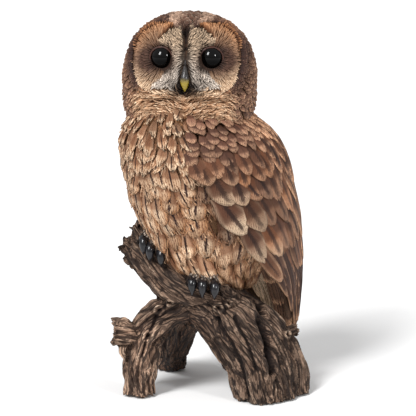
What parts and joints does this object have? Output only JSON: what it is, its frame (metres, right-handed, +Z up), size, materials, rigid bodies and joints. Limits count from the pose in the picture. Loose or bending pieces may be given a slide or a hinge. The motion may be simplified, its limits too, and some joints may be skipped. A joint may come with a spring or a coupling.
{
  "type": "resin tawny owl statue",
  "caption": "Life-size painted resin statue of a tawny owl, wings folded and head turned, perched on an arched, broken log that stands on three feet.",
  "frame": {"origin": "centre of the figure's level outline, on the floor that the log stands on", "axes": "+Z up; -Y is the side that the picture shows, where the owl's face looks; the breast faces 45 degrees to the viewer's left"},
  "size_m": [0.2232, 0.2079, 0.4195],
  "materials": {
    "brown_plumage": "cast feathers painted purple-brown, with dark centres and pale dry-brushed edges",
    "breast_plumage": "cast feathers painted buff and orange-brown, with cream tips and dark shaft streaks",
    "eye": "glossy black, clear and smooth as glass",
    "beak": "satin, grey at the base and yellow towards the tip",
    "claw": "glossy black",
    "bark": "cast bark painted grey-brown, dark in the cracks and dry-brushed tan on the ridges"
  },
  "bodies": {
    "root": {"torso": "breast_plumage", "neck": "breast_plumage", "head": "brown_plumage", "eye_left": "eye", "eye_right": "eye", "beak": "beak", "wing_left": "brown_plumage", "wing_right": "brown_plumage", "tail": "brown_plumage", "leg_left": "breast_plumage", "leg_right": "breast_plumage", "claw_left_1": "claw", "claw_left_2": "claw", "claw_left_3": "claw", "claw_right_1": "claw", "claw_right_2": "claw", "claw_right_3": "claw", "log_trunk": "bark", "log_perch_branch": "bark", "log_back_limb": "bark", "log_front_leg": "bark", "log_rear_leg": "bark", "log_stub": "bark", "log_knob": "bark"}
  },
  "joints": []
}
